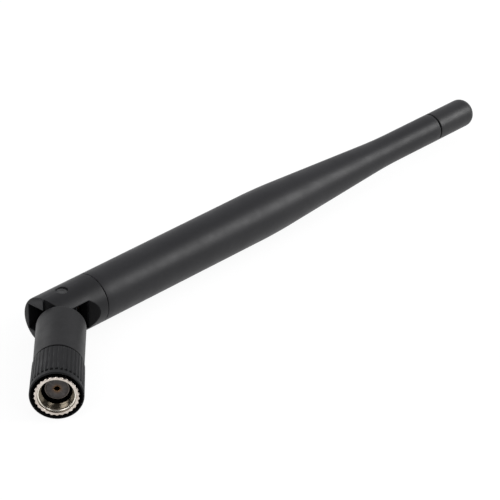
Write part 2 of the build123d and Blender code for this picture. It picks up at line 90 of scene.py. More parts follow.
# ------------------------------------------------------------------ mesh tools
def soften(points, radii, steps=5, closed=True):
    """A profile with its corners turned into small arcs."""
    out, n = [], len(points)
    for i, p in enumerate(points):
        r = radii[i] if isinstance(radii, (list, tuple)) else radii
        if (not closed and i in (0, n - 1)) or r <= 0:
            out.append(tuple(p))
            continue
        a, b, c = Vector(points[i - 1]), Vector(p), Vector(points[(i + 1) % n])
        d1, d2 = a - b, c - b
        if d1.length < 1e-9 or d2.length < 1e-9:
            out.append(tuple(p))
            continue
        l1, l2 = d1.length, d2.length
        d1.normalize(); d2.normalize()
        half = math.acos(max(-1, min(1, d1.dot(d2)))) / 2
        if half > pi / 2 - 0.01 or half < 0.02:
            out.append(tuple(p))
            continue
        cut = min(r / tan(half), 0.49 * l1, 0.49 * l2)
        rr = cut * tan(half)
        centre = b + (d1 + d2).normalized() * (rr / sin(half))
        s, e = b + d1 * cut - centre, b + d2 * cut - centre
        total = math.atan2(s.x * e.y - s.y * e.x, s.dot(e))
        for k in range(steps + 1):
            t = total * k / steps
            v = Vector((s.x * cos(t) - s.y * sin(t), s.x * sin(t) + s.y * cos(t)))
            out.append(tuple(centre + v))
    return out


def new_object(name, verts, faces, smooth_deg=38):
    mesh = bpy.data.meshes.new(name)
    mesh.from_pydata(verts, [], faces)
    mesh.validate()
    bm = bmesh.new()
    bm.from_mesh(mesh)
    bmesh.ops.remove_doubles(bm, verts=bm.verts, dist=1e-8)
    bmesh.ops.recalc_face_normals(bm, faces=bm.faces)
    bm.to_mesh(mesh)
    bm.free()
    mesh.shade_smooth()
    mesh.set_sharp_from_angle(angle=radians(smooth_deg))
    obj = bpy.data.objects.new(name, mesh)
    bpy.context.scene.collection.objects.link(obj)
    w = obj.modifiers.new("normals", "WEIGHTED_NORMAL")
    w.keep_sharp = True
    return obj


def lathe(name, turn, profile, segs=128, warp=None):
    """A closed profile of (radius, height) turned about an axis. warp(r, h, angle) may move a point."""
    verts, rings = [], []
    for r, h in profile:
        if r < 1e-6:
            rings.append([len(verts)] * segs)
            verts.append(turn.at(0, h, 0))
            continue
        ring = []
        for k in range(segs):
            ang = 2 * pi * k / segs
            rr, hh = warp(r, h, ang) if warp else (r, h)
            ring.append(len(verts))
            verts.append(turn.at(rr, hh, ang))
        rings.append(ring)
    faces = []
    for i in range(len(rings)):
        a, b = rings[i], rings[(i + 1) % len(rings)]
        if a[0] == a[1] and b[0] == b[1]:
            continue
        for k in range(segs):
            j = (k + 1) % segs
            f = [a[k], a[j], b[j], b[k]]
            f = [x for n, x in enumerate(f) if x != f[n - 1]]
            if len(f) > 2:
                faces.append(f)
    return new_object(name, verts, faces)


def divide(points, spacing, closed=True):
    """Extra points along long straight stretches."""
    out, n = [], len(points)
    for i, p in enumerate(points):
        out.append(tuple(p))
        if not closed and i == n - 1:
            break
        q = points[(i + 1) % n]
        d = Vector(q) - Vector(p)
        if p[0] < 1e-6 and q[0] < 1e-6:
            continue
        m = int(d.length / spacing)
        for k in range(1, m + 1):
            out.append(tuple(Vector(p) + d * (k / (m + 1))))
    return out


# ------------------------------------------------------------------ solids from distance fields
def hard_and(*fields):
    out = fields[0]
    for f in fields[1:]:
        out = np.maximum(out, f)
    return out


def soft_and(a, b, k):
    """Both at once, with the edge between them rounded by k. Only ever takes material away."""
    return np.maximum(a, b) + np.maximum(k - np.abs(a - b), 0) ** 2 / (4 * k)


def soft_or(a, b, k):
    return np.minimum(a, b) - np.maximum(k - np.abs(a - b), 0) ** 2 / (4 * k)


def cut(a, b, k):
    """a without b, its new edges rounded by k."""
    return soft_and(a, -b, k)


CORNERS = [(0, 0, 0), (1, 0, 0), (0, 1, 0), (1, 1, 0), (0, 0, 1), (1, 0, 1), (0, 1, 1), (1, 1, 1)]
EDGES = [(0, 1), (2, 3), (4, 5), (6, 7), (0, 2), (1, 3), (4, 6), (5, 7), (0, 4), (1, 5), (2, 6), (3, 7)]


def net(name, field, low, high, step, place):
    """Mesh of the surface where field(x, y, z) is 0, in local mm. place turns local mm into metres in the row frame."""
    axes = [np.arange(low[i] - 2.37 * step, high[i] + 3 * step, step) for i in range(3)]
    nx, ny, nz = (len(a) for a in axes)
    F = np.empty((nx, ny, nz), np.float32)
    Y, Zg = np.meshgrid(axes[1], axes[2], indexing="ij")
    for i, x in enumerate(axes[0]):
        F[i] = field(np.full_like(Y, x), Y, Zg)
    inside = F < 0
    count = np.zeros((nx - 1, ny - 1, nz - 1), np.int8)
    for cx, cy, cz in CORNERS:
        count += inside[cx:nx - 1 + cx, cy:ny - 1 + cy, cz:nz - 1 + cz]
    active = np.argwhere((count > 0) & (count < 8))
    ident = np.full(count.shape, -1, np.int32)
    ident[tuple(active.T)] = np.arange(len(active))
    vals = np.stack([F[active[:, 0] + c[0], active[:, 1] + c[1], active[:, 2] + c[2]] for c in CORNERS], 1)
    total, hits = np.zeros((len(active), 3)), np.zeros(len(active))
    for a, b in EDGES:
        va, vb = vals[:, a], vals[:, b]
        on = (va < 0) != (vb < 0)
        t = np.where(on, va / np.where(on, va - vb, 1), 0)
        pa, pb = np.array(CORNERS[a], float), np.array(CORNERS[b], float)
        total[on] += (pa + (pb - pa) * t[:, None])[on]
        hits += on
    first = np.array([a[0] for a in axes])
    pts = first + (active + total / hits[:, None]) * step

    def slope(p):
        e = 0.004
        g = [(field(*(p + d).T) - field(*(p - d).T)) / (2 * e) for d in np.eye(3) * e]
        return np.stack(g, 1)

    for _ in range(4):
        v, g = field(*pts.T), slope(pts)
        move = -g * (v / np.maximum((g ** 2).sum(1), 0.05))[:, None]
        size = np.linalg.norm(move, axis=1)
        pts += move * np.minimum(1, 0.35 * step / np.maximum(size, 1e-9))[:, None]
    faces = []
    for axis in range(3):
        u, w = (axis + 1) % 3, (axis + 2) % 3
        a = [slice(None)] * 3
        b = [slice(None)] * 3
        a[axis], b[axis] = slice(0, -1), slice(1, None)
        change = inside[tuple(a)] != inside[tuple(b)]
        e = np.argwhere(change)
        keep = (e[:, u] > 0) & (e[:, w] > 0) & (e[:, u] < F.shape[u] - 1) & (e[:, w] < F.shape[w] - 1)
        e = e[keep]
        quad = []
        for du, dw in ((-1, -1), (0, -1), (0, 0), (-1, 0)):
            c = e.copy()
            c[:, u] += du
            c[:, w] += dw
            quad.append(ident[tuple(c.T)])
        quad = np.stack(quad, 1)
        flip = ~inside[tuple(e.T)]
        quad[flip] = quad[flip][:, ::-1]
        faces.append(quad)
    faces = np.concatenate(faces)
    world = place(pts)
    mesh = bpy.data.meshes.new(name)
    mesh.from_pydata(world.tolist(), [], faces.tolist())
    mesh.validate()
    mesh.shade_smooth()
    obj = bpy.data.objects.new(name, mesh)
    bpy.context.scene.collection.objects.link(obj)
    return obj


def place_blade(p):
    """Local x across, y along, z up, from the hinge axis."""
    a, b = np.array(ACROSS), np.array(ALONG)
    return np.array(PIVOT) + (p[:, :1] * a + p[:, 1:2] * b) * MM + np.column_stack([0 * p[:, 0], 0 * p[:, 0], p[:, 2] * MM])


def place_plug(p):
    return p * MM


# ------------------------------------------------------------------ material tools
class Mat:
    """Small helper around a node tree. Coordinates are the row frame's, in metres, at rest."""

    def __init__(self, name):
        self.m = bpy.data.materials.new(name)
        self.m.use_nodes = True
        self.t = self.m.node_tree
        self.b = self.t.nodes["Principled BSDF"]
        self.coord = self.t.nodes.new("ShaderNodeTexCoord")

    def node(self, kind, **values):
        n = self.t.nodes.new(kind)
        for k, v in values.items():
            if hasattr(n, k):
                setattr(n, k, v)
            else:
                n.inputs[k.replace("_", " ")].default_value = v
        return n

    def link(self, a, b):
        self.t.links.new(a, b)

    def set(self, **values):
        for k, v in values.items():
            self.b.inputs[k.replace("_", " ")].default_value = v

    def local(self, where):
        """Coordinates with Y along the piece's own axis: the plug's, or the blade's from the hinge."""
        if where == "plug":
            return self.coord.outputs["Object"]
        sub = self.node("ShaderNodeVectorMath", operation="SUBTRACT")
        self.link(self.coord.outputs["Object"], sub.inputs[0])
        sub.inputs[1].default_value = PIVOT
        rot = self.node("ShaderNodeVectorRotate", rotation_type="Z_AXIS")
        rot.inputs["Angle"].default_value = pi / 4
        self.link(sub.outputs[0], rot.inputs["Vector"])
        return rot.outputs[0]

    def noise(self, scale, detail=3.0, rough=0.5, stretch=None, where="plug", distortion=0.0):
        n = self.node("ShaderNodeTexNoise")
        n.inputs["Scale"].default_value = scale
        n.inputs["Detail"].default_value = detail
        n.inputs["Roughness"].default_value = rough
        n.inputs["Distortion"].default_value = distortion
        src = self.local(where)
        if stretch:
            mp = self.node("ShaderNodeMapping")
            mp.inputs["Scale"].default_value = stretch
            self.link(src, mp.inputs["Vector"])
            src = mp.outputs["Vector"]
        self.link(src, n.inputs["Vector"])
        return n.outputs["Fac"]

    def cells(self, scale, feature="F1"):
        n = self.node("ShaderNodeTexVoronoi", feature=feature)
        n.inputs["Scale"].default_value = scale
        self.link(self.coord.outputs["Object"], n.inputs["Vector"])
        return n.outputs["Distance"]

    def polar(self, where):
        """Angle about the piece's axis and distance along it."""
        s = self.node("ShaderNodeSeparateXYZ")
        self.link(self.local(where), s.inputs[0])
        return self.math("ARCTAN2", s.outputs["X"], s.outputs["Z"]), s.outputs["Y"]

    def wave(self, phase):
        return self.math("SINE", phase)

    def ramp(self, fac, stops):
        r = self.node("ShaderNodeValToRGB")
        e = r.color_ramp.elements
        while len(e) > 1:
            e.remove(e[-1])
        e[0].position, e[0].color = stops[0][0], (*stops[0][1], 1)
        for pos, col in stops[1:]:
            k = e.new(pos)
            k.color = (*col, 1)
        self.link(fac, r.inputs["Fac"])
        return r.outputs["Color"]

    def remap(self, fac, lo, hi, a=0.0, b=1.0):
        """From a..b to lo..hi, clamped."""
        r = self.node("ShaderNodeMapRange")
        r.inputs["From Min"].default_value, r.inputs["From Max"].default_value = a, b
        r.inputs["To Min"].default_value, r.inputs["To Max"].default_value = lo, hi
        self.link(fac, r.inputs["Value"])
        return r.outputs["Result"]

    def mix(self, fac, a, b, blend="MIX"):
        n = self.node("ShaderNodeMix", data_type="RGBA", blend_type=blend)
        for sock, v in ((n.inputs[0], fac), (n.inputs[6], a), (n.inputs[7], b)):
            if isinstance(v, bpy.types.NodeSocket):
                self.link(v, sock)
            else:
                sock.default_value = (*v, 1) if isinstance(v, tuple) else v
        return n.outputs[2]

    def math(self, op, a, b=0.0):
        n = self.node("ShaderNodeMath", operation=op)
        for sock, v in ((n.inputs[0], a), (n.inputs[1], b)):
            if isinstance(v, bpy.types.NodeSocket):
                self.link(v, sock)
            else:
                sock.default_value = v
        return n.outputs[0]

    def ridge(self, lo=0.53, hi=0.62):
        """1 on outward edges, where handling wears the surface."""
        g = self.node("ShaderNodeNewGeometry")
        return self.remap(g.outputs["Pointiness"], 0.0, 1.0, lo, hi)

    def hollow(self, lo=0.47, hi=0.36):
        """1 in inward corners, where dust and shade gather."""
        g = self.node("ShaderNodeNewGeometry")
        return self.remap(g.outputs["Pointiness"], 0.0, 1.0, lo, hi)

    def bump(self, height, distance, strength=1.0, under=None):
        """distance in mm."""
        n = self.node("ShaderNodeBump")
        n.inputs["Strength"].default_value = strength
        n.inputs["Distance"].default_value = distance * MM
        self.link(height, n.inputs["Height"])
        if under is not None:
            self.link(under, n.inputs["Normal"])
        return n.outputs["Normal"]

    def to(self, socket, out):
        self.link(out, self.b.inputs[socket])


def dress(obj, mat):
    obj.data.materials.clear()
    obj.data.materials.append(mat)
    return obj


def plastic(name, dark, light, rough=(0.42, 0.52), grain=9000, grain_mm=0.005, spec=0.28, wear=0.5, dust=0.0, where="plug", draw=0.0, deep=None):
    """Moulded plastic: spark-eroded grain, faint flow variation, rubbed edges, a little dust in corners, and, where
    deep is given, painted shade darkening inward corners.
    """
    k = Mat(name)
    broad = k.noise(70, 3, 0.5, where=where)
    fine = k.noise(1100, 4, 0.6)
    col = k.ramp(k.math("ADD", k.math("MULTIPLY", broad, 0.55), k.math("MULTIPLY", fine, 0.45)),
                 [(0.36, dark), (0.64, light)])
    edge = k.math("MULTIPLY", k.ridge(), k.remap(k.noise(900, 3, 0.6), 0.0, wear, 0.38, 0.72))
    worn = tuple(min(1, c * 2.2 + 0.010) for c in light)
    col = k.mix(edge, col, worn)
    if dust:
        col = k.mix(k.math("MULTIPLY", k.hollow(), k.remap(k.noise(1600, 3), 0.0, dust, 0.4, 0.75)), col, (0.11, 0.105, 0.10))
    # painted shade: inward corners and creases are darkened towards the deep colour
    if deep:
        col = k.mix(k.hollow(0.48, 0.42), col, deep)
    k.to("Base Color", col)
    smudge = k.remap(k.noise(260, 4, 0.62, where=where), rough[0], rough[1], 0.34, 0.66)
    k.to("Roughness", k.math("SUBTRACT", smudge, k.math("MULTIPLY", edge, 0.10)))
    k.set(Specular_IOR_Level=spec)
    n1 = k.bump(k.noise(grain, 2, 0.5), grain_mm)
    n2 = k.bump(k.cells(grain * 0.55), grain_mm * 0.8, 0.6, n1)
    if draw:
        n2 = k.bump(k.noise(1.0, 2, 0.5, stretch=(5200, 60, 5200), where=where), draw, 0.5, n2)
    k.to("Normal", n2)
    return k.m


def metal(name, base, tint, rough=(0.18, 0.30), wear=0.4, turning=0.0016, stain=None, where="plug", polish=None):
    """Turned and plated metal: tool marks round the axis, blotchy plating, bright rubbed edges, darker corners."""
    k = Mat(name)
    col = k.ramp(k.noise(520, 4, 0.62, where=where), [(0.34, tint), (0.66, base)])
    if stain:
        col = k.mix(k.remap(k.noise(1500, 5, 0.68), 0.0, 0.65, 0.50, 0.74), col, stain)
        col = k.mix(k.math("MULTIPLY", k.hollow(0.46, 0.38), 0.6), col, stain)
    edge = k.math("MULTIPLY", k.ridge(), wear)
    k.to("Base Color", k.mix(edge, col, polish or tuple(min(1, c * 1.10 + 0.04) for c in base)))
    k.set(Metallic=1.0)
    k.to("Roughness", k.remap(k.noise(1300, 4, 0.6), rough[0], rough[1], 0.32, 0.68))
    ring = k.noise(1.0, 3, 0.6, stretch=(260, 15000, 260), where=where)
    n1 = k.bump(ring, turning)
    k.to("Normal", k.bump(k.noise(3000, 3), turning * 1.6, 0.5, n1))
    return k.m


def braid(name, base, dark, where, starts, pitch):
    """Plaited wire screen: two sets of flat strands crossing over and under."""
    k = Mat(name)
    ang, run = k.polar(where)
    turn = k.math("MULTIPLY", ang, starts)
    lead = k.math("MULTIPLY", run, 2 * pi / (pitch * MM))
    a = k.wave(k.math("ADD", turn, lead))
    b = k.wave(k.math("SUBTRACT", turn, lead))
    h = k.math("ADD", k.math("MAXIMUM", a, b), k.math("MULTIPLY", k.math("MULTIPLY", a, b), 0.5))
    # painted shade: the colour darkens where the strands dip under each other
    k.to("Base Color", k.mix(k.remap(h, 0.0, 1.0, -0.2, 1.1), dark, k.ramp(k.noise(2400, 3), [(0.35, tuple(c * 0.86 for c in base)), (0.65, base)])))
    k.set(Metallic=1.0)
    k.to("Roughness", k.remap(k.noise(5000, 3), 0.26, 0.42, 0.3, 0.7))
    fine = k.wave(k.math("MULTIPLY", k.math("ADD", turn, lead), 5.0))
    k.to("Normal", k.bump(h, 0.05, 0.9, k.bump(fine, 0.006, 0.5)))
    return k.m


def drawn(name, base, tint, where, rough=(0.20, 0.34), stain=None):
    """Drawn wire or tube: die lines along the axis, uneven tarnish."""
    k = Mat(name)
    col = k.ramp(k.noise(420, 4, 0.6, where=where), [(0.34, tint), (0.66, base)])
    if stain:
        col = k.mix(k.remap(k.noise(900, 5, 0.66, where=where), 0.0, 0.7, 0.52, 0.72), col, stain)
    k.to("Base Color", k.mix(k.math("MULTIPLY", k.ridge(), 0.4), col, tuple(min(1, c * 1.1 + 0.03) for c in base)))
    k.set(Metallic=1.0)
    k.to("Roughness", k.remap(k.noise(1700, 4, 0.6), rough[0], rough[1], 0.32, 0.68))
    k.to("Normal", k.bump(k.noise(1.0, 3, 0.6, stretch=(14000, 200, 14000), where=where), 0.002,
                          0.8, k.bump(k.noise(2600, 3), 0.003, 0.5)))
    return k.m


def clear_plastic(name, dark, light, rough, grain, grain_mm, spec=0.5, sub=0.0, cell=None, where="plug", glow=(0.9, 0.9, 0.9), halo=None):
    """Pale unfilled plastic, foam or PTFE, with a little depth."""
    k = Mat(name)
    col = k.ramp(k.math("ADD", k.math("MULTIPLY", k.noise(160, 3, where=where), 0.5), k.math("MULTIPLY", k.noise(1500, 4, 0.6), 0.5)),
                 [(0.36, dark), (0.64, light)])
    if cell:
        col = k.mix(k.remap(k.cells(cell), 0.28, 0.0, 0.0, 0.55), col, tuple(c * 0.72 for c in dark))
    if halo:
        # flux stain round the centre contact
        sp = k.node("ShaderNodeSeparateXYZ")
        k.link(k.local(where), sp.inputs[0])
        far = k.math("SQRT", k.math("ADD", k.math("MULTIPLY", sp.outputs["X"], sp.outputs["X"]),
                                    k.math("MULTIPLY", sp.outputs["Z"], sp.outputs["Z"])))
        far = k.math("ADD", far, k.math("MULTIPLY", k.noise(2600, 3), 0.0004))
        col = k.mix(k.remap(far, 0.8, 0.0, 0.0008, 0.0014), col, halo)
    k.to("Base Color", k.mix(k.math("MULTIPLY", k.ridge(), 0.5), col, tuple(min(1, c * 1.05 + 0.02) for c in light)))
    k.to("Roughness", k.remap(k.noise(700, 4, 0.6), rough[0], rough[1], 0.32, 0.68))
    k.set(Specular_IOR_Level=spec)
    if sub:
        k.set(Subsurface_Weight=sub, Subsurface_Radius=glow, Subsurface_Scale=0.0006)
    n = k.bump(k.noise(grain, 3, 0.55), grain_mm)
    if cell:
        n = k.bump(k.cells(cell), grain_mm * 5, 0.8, n)
    else:
        n = k.bump(k.noise(1.0, 2, 0.5, stretch=(240, 12000, 240), where=where), grain_mm, 0.6, n)
    k.to("Normal", n)
    return k.m


MATS = {
    "radome": plastic("radome_black", (0.0082, 0.0082, 0.0096), (0.0114, 0.0114, 0.0130), rough=(0.44, 0.52), where="blade", draw=0.0012, spec=0.26),
    "cap": plastic("tip_cap_black", (0.0092, 0.0092, 0.0100), (0.0124, 0.0124, 0.0134), rough=(0.43, 0.51), where="blade"),
    "yoke": plastic("hinge_yoke_black", (0.0076, 0.0076, 0.0086), (0.0108, 0.0108, 0.0120), rough=(0.42, 0.50), where="blade", spec=0.20),
    # darker copy of the yoke plastic: painted shade for the yoke's slot, relief and ear ends
    "recess": plastic("hinge_recess_painted_shade", (0.0042, 0.0042, 0.0046), (0.0062, 0.0062, 0.0068), rough=(0.56, 0.68), where="blade", spec=0.07, wear=0.2),
    # darker copy of the knuckle plastic: painted shade on the tongue inside the yoke's slot
    "tongue": plastic("hinge_tongue_painted_shade", (0.0042, 0.0042, 0.0046), (0.0062, 0.0062, 0.0068), rough=(0.56, 0.68), spec=0.07, wear=0.2),
    "knuckle": plastic("knuckle_black", (0.0084, 0.0084, 0.0088), (0.0118, 0.0118, 0.0124), rough=(0.42, 0.50), spec=0.17),
    # deep paints shade into the grip's inward corners and creases
    "grip": plastic("grip_black", (0.0044, 0.0046, 0.0052), (0.0070, 0.0072, 0.0080), rough=(0.44, 0.54), wear=0.3, grain=7000, grain_mm=0.007, spec=0.15, deep=(0.0012, 0.0012, 0.0022)),
    # darker copy of the grip plastic: painted shade for the front recess and the flutes' front pockets
    "grip_painted_shade": plastic("grip_recess_painted_shade", (0.0014, 0.0014, 0.0022), (0.0026, 0.0026, 0.0036), rough=(0.60, 0.72), wear=0.2, grain=7000, grain_mm=0.005, spec=0.05),
    "pin": plastic("hinge_pin_black", (0.0200, 0.0200, 0.0206), (0.0280, 0.0280, 0.0286), rough=(0.34, 0.42), grain=11000, grain_mm=0.003),
    "nickel": metal("warm_nickel", (0.66, 0.60, 0.55), (0.56, 0.50, 0.445), rough=(0.20, 0.32), stain=(0.32, 0.26, 0.19), turning=0.0014),
    # brighter, smoother copy of the nickel: the lower roughness is polish, the brighter colour is a painted highlight
    # on the mouth bead
    "bead": metal("polished_bead_painted_highlight", (0.84, 0.79, 0.71), (0.76, 0.71, 0.62), rough=(0.14, 0.20), turning=0.0003),
    # painted shade: a dark brown copy of the nickel for the nut's bore and threads
    "bore": metal("nut_bore_painted_shade", (0.185, 0.160, 0.125), (0.115, 0.097, 0.070), rough=(0.16, 0.26), stain=(0.055, 0.040, 0.024), turning=0.0008),
    # painted shade: the plug body is given a dark colour so its rim, deep inside the nut, looks shaded
    "body": metal("plug_body_painted_shade", (0.165, 0.145, 0.132), (0.110, 0.095, 0.086), rough=(0.34, 0.46), stain=(0.035, 0.028, 0.022),
                  polish=(0.16, 0.145, 0.13)),
    "contact": metal("contact_copper_gold", (0.40, 0.25, 0.14), (0.27, 0.155, 0.08), rough=(0.24, 0.36), stain=(0.14, 0.065, 0.03), turning=0.0010),
    # painted shade: the insulator's dark brownish base stands in for the shade inside the nut; the halo is a flux stain
    "insulator": clear_plastic("insulator_disc", (0.046, 0.040, 0.038), (0.112, 0.100, 0.096), (0.42, 0.56), 5200, 0.006, spec=0.30, halo=(0.150, 0.085, 0.045)),
    "bushing": clear_plastic("bushing_acetal", (0.62, 0.60, 0.55), (0.74, 0.72, 0.67), (0.30, 0.42), 6000, 0.003, sub=0.15),
    "foam": clear_plastic("spacer_foam", (0.70, 0.69, 0.66), (0.84, 0.83, 0.80), (0.70, 0.86), 3600, 0.010, spec=0.2, cell=4200, sub=0.2),
    "rubber": plastic("gasket_rubber", (0.014, 0.012, 0.011), (0.024, 0.021, 0.019), rough=(0.62, 0.78), grain=6500, grain_mm=0.006, spec=0.25, wear=0.2, dust=0.4),
    "spring": metal("spring_steel", (0.50, 0.49, 0.47), (0.36, 0.34, 0.32), rough=(0.26, 0.40), stain=(0.16, 0.11, 0.07)),
    "ferrule": metal("ferrule_tin_brass", (0.66, 0.63, 0.56), (0.52, 0.48, 0.40), rough=(0.26, 0.38), stain=(0.30, 0.24, 0.15)),
    "jacket_lower": plastic("jacket_brown_lower", (0.042, 0.026, 0.018), (0.062, 0.040, 0.028), rough=(0.34, 0.46), grain=7000, grain_mm=0.003, draw=0.002),
    "jacket_flex": plastic("jacket_brown_flex", (0.042, 0.026, 0.018), (0.062, 0.040, 0.028), rough=(0.34, 0.46), grain=7000, grain_mm=0.003),
    "jacket_upper": plastic("jacket_brown_upper", (0.042, 0.026, 0.018), (0.062, 0.040, 0.028), rough=(0.34, 0.46), grain=7000, grain_mm=0.003, where="blade", draw=0.002),
    "diel_lower": clear_plastic("dielectric_lower", (0.66, 0.65, 0.62), (0.80, 0.79, 0.76), (0.34, 0.46), 7000, 0.002, sub=0.25),
    "diel_upper": clear_plastic("dielectric_upper", (0.66, 0.65, 0.62), (0.80, 0.79, 0.76), (0.34, 0.46), 7000, 0.002, sub=0.25, where="blade"),
    "natural": clear_plastic("natural_spacer", (0.60, 0.58, 0.52), (0.74, 0.72, 0.66), (0.32, 0.46), 5200, 0.004, sub=0.25, where="blade"),
    "braid_lower": braid("tinned_braid_lower", (0.72, 0.70, 0.66), (0.16, 0.14, 0.12), "plug", 8, 1.9),
    "braid_upper": braid("tinned_braid_upper", (0.72, 0.70, 0.66), (0.16, 0.14, 0.12), "blade", 8, 1.9),
    "copper_lower": drawn("copper_wire_lower", (0.80, 0.44, 0.28), (0.62, 0.30, 0.18), "plug", stain=(0.30, 0.13, 0.07)),
    "copper_upper": drawn("copper_wire_upper", (0.80, 0.44, 0.28), (0.62, 0.30, 0.18), "blade", stain=(0.30, 0.13, 0.07)),
    "radiator": drawn("radiator_copper", (0.82, 0.46, 0.30), (0.64, 0.32, 0.19), "blade", stain=(0.33, 0.15, 0.08)),
    "brass": drawn("balun_brass", (0.80, 0.60, 0.28), (0.66, 0.46, 0.19), "blade", stain=(0.34, 0.22, 0.09)),
    "shrink": plastic("heat_shrink_black", (0.012, 0.012, 0.013), (0.020, 0.020, 0.021), rough=(0.36, 0.50), grain=4200, grain_mm=0.008, where="blade", draw=0.004),
}

# ------------------------------------------------------------------ pieces
def stand_in(obj, node, body, mat):
    dress(obj, MATS[mat])
    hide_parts(node)
    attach(obj, body)
    return obj


def arc_join(p0, p1, p2, radius, steps):
    """Points of the arc that joins two straight runs tangentially."""
    a, b, c = Vector(p0), Vector(p1), Vector(p2)
    d1, d2 = (a - b).normalized(), (c - b).normalized()
    half = math.acos(max(-1, min(1, d1.dot(d2)))) / 2
    cut_ = radius / tan(half)
    centre = b + (d1 + d2).normalized() * (radius / sin(half))
    s, e = b + d1 * cut_ - centre, b + d2 * cut_ - centre
    total = math.atan2(s.x * e.y - s.y * e.x, s.dot(e))
    out = []
    for k in range(steps + 1):
        t = total * k / steps
        out.append(tuple(centre + Vector((s.x * cos(t) - s.y * sin(t), s.x * sin(t) + s.y * cos(t)))))
    return out


# ---- radome: long thin moulded tube, cylinder, taper, thinner cylinder
def shell(r0, r1, t0, t1):
    line = [(r0, t0)]
    line += arc_join((r0, t0), (r0, 55.4), (r1, 90.7), 150.0, 16)
    line += arc_join((r0, 55.4), (r1, 90.7), (r1, t1), 150.0, 16)
    return line + [(r1, t1)]


outer = shell(5.0, 3.0, 7.42, 106.74)
inner = shell(4.0, 2.0, 7.42, 106.74)
outer[0:1] = [(4.88, 7.42), (4.95, 7.44), (4.987, 7.49), (5.0, 7.56)]
outer[-1:] = [(3.0, 106.60), (2.985, 106.67), (2.945, 106.72), (2.88, 106.74)]
inner[0:1] = [(4.10, 7.42), (4.03, 7.45), (4.0, 7.52)]
inner[-1:] = [(2.0, 106.66), (2.03, 106.72), (2.10, 106.74)]
radome = lathe("radome", BLADE, divide(outer + inner[::-1], 1.6), 144)
stand_in(radome, "radome_tube", "blade", "radome")

# ---- tip cap: domed plug
cap_profile = soften(
    [(0, 103.0), (1.78, 103.0), (1.98, 103.4), (1.98, 107.06), (2.99, 107.06), (2.99, 110.0)],
    [0, 0.05, 0.05, 0, 0.14, 0], 8, closed=False)
DOME, CROWN = 2.20, 118.64
cap_profile += [(2.99 - DOME + DOME * cos(a), CROWN - DOME + DOME * sin(a)) for a in np.linspace(0, pi / 2, 22)]
cap_profile += [(0.40, CROWN + 0.02), (0, CROWN + 0.025)]
cap = lathe("cap", BLADE, divide(cap_profile, 0.8), 128)
stand_in(cap, "tip_cap", "blade", "cap")


# ---- hinge yoke
def yoke_field(x, y, z):
    r = np.sqrt(x * x + z * z)
    rho = np.sqrt(x * x + y * y)
    az = np.abs(z)
    body = soft_and(r - 5.0, -5.2 - y, 0.45)
    body = soft_and(body, y - 7.31, 0.14)
    spigot = hard_and(r - 3.97, y - 13.4, 5.0 - y, (r + y - 17.07) * 0.7071)
    solid = np.minimum(body, spigot)
    slot = soft_and(soft_and(az - 2.62 - 0.04017 * (x + 3.6), -3.6 - x, 0.12), y - 3.2, 0.14)
    slope = 1.95 / 0.92
    relief = np.maximum(4.08 - x, (y - 3.2 - slope * (x - 4.08)) / sqrt(1 + slope * slope))
    ears = hard_and(0.45 - x, y, 4.85 - rho)
    holes = rho - 1.15
    passage = np.maximum(r - np.interp(y, [3.1, 4.9, 6.2, 14.0], [1.65, 0.95, 0.80, 0.80]), 3.1 - y)
    solid = cut(solid, ears, 0.10)
    solid = cut(solid, relief, 0.12)
    solid = cut(solid, slot, 0.14)
    solid = cut(solid, holes, 0.14)
    return cut(solid, passage, 0.12)


yoke = net("yoke", yoke_field, (-5, -5.2, -5), (5, 13.4, 5), 0.105, place_blade)
stand_in(yoke, "hinge_yoke", "blade", "yoke")
# painted shade: the slot, the relief and the ear ends get the darker copy of the yoke plastic
yoke.data.materials.append(MATS["recess"])
for face in yoke.data.polygons:
    at = (face.center - PIVOT) / MM
    c, b = at.dot(ACROSS), at.dot(ALONG)
    on_relief = c > 4.0 and b > 3.1 and abs(b - 3.2 - 2.1196 * (c - 4.08)) < 0.16
    in_slot = -3.72 < c and b < 3.3 and abs(at.z) < 2.66 + 0.0402 * (c + 3.6) and at.xy.length < 4.7
    on_end = c > 0.42 and b < 0 and at.xy.length < 4.93 and abs(at.z) > 2.4 and at.xy.length > 4.7
    if on_relief or in_slot or on_end:
        face.material_index = 1


# ---- knuckle
def knuckle_field(x, y, z):
    r = np.sqrt(x * x + z * z)
    d = y - 26.3
    rho = np.sqrt(x * x + d * d)
    az, ax = np.abs(z), np.abs(x)
    barrel = soft_and(soft_and(r - 4.72, y - 21.0, 0.26), 7.43 - y, 0.10)
    tongue = np.minimum(rho - 2.85, hard_and(ax - 2.85, d, 20.0 - y))
    tongue = soft_and(tongue, az - 2.50, 0.24)
    solid = soft_or(barrel, tongue, 0.14)
    bore = np.maximum(r - 3.2, y - 14.4)
    bore = np.minimum(bore, np.maximum(r - 1.75, y - 19.5))
    bore = np.minimum(bore, hard_and(r - np.interp(y, [19.5, 20.1], [1.75, 0.9]), y - 20.1, 19.4 - y))
    bore = np.minimum(bore, np.maximum(r - 0.9, y - 21.7))
    fork = np.maximum(az - 0.85, 21.2 - y)
    solid = cut(solid, bore, 0.12)
    solid = cut(solid, fork, 0.14)
    return cut(solid, rho - 1.10, 0.10)


knuckle = net("knuckle", knuckle_field, (-4.72, 7.43, -4.72), (4.72, 29.15, 4.72), 0.105, place_plug)
stand_in(knuckle, "knuckle_body", "knuckle", "knuckle")
# painted shade: the tongue, inside the yoke, gets the darker copy of the knuckle plastic
knuckle.data.materials.append(MATS["tongue"])
for face in knuckle.data.polygons:
    if face.center.y > 21.03 * MM:
        face.material_index = 1

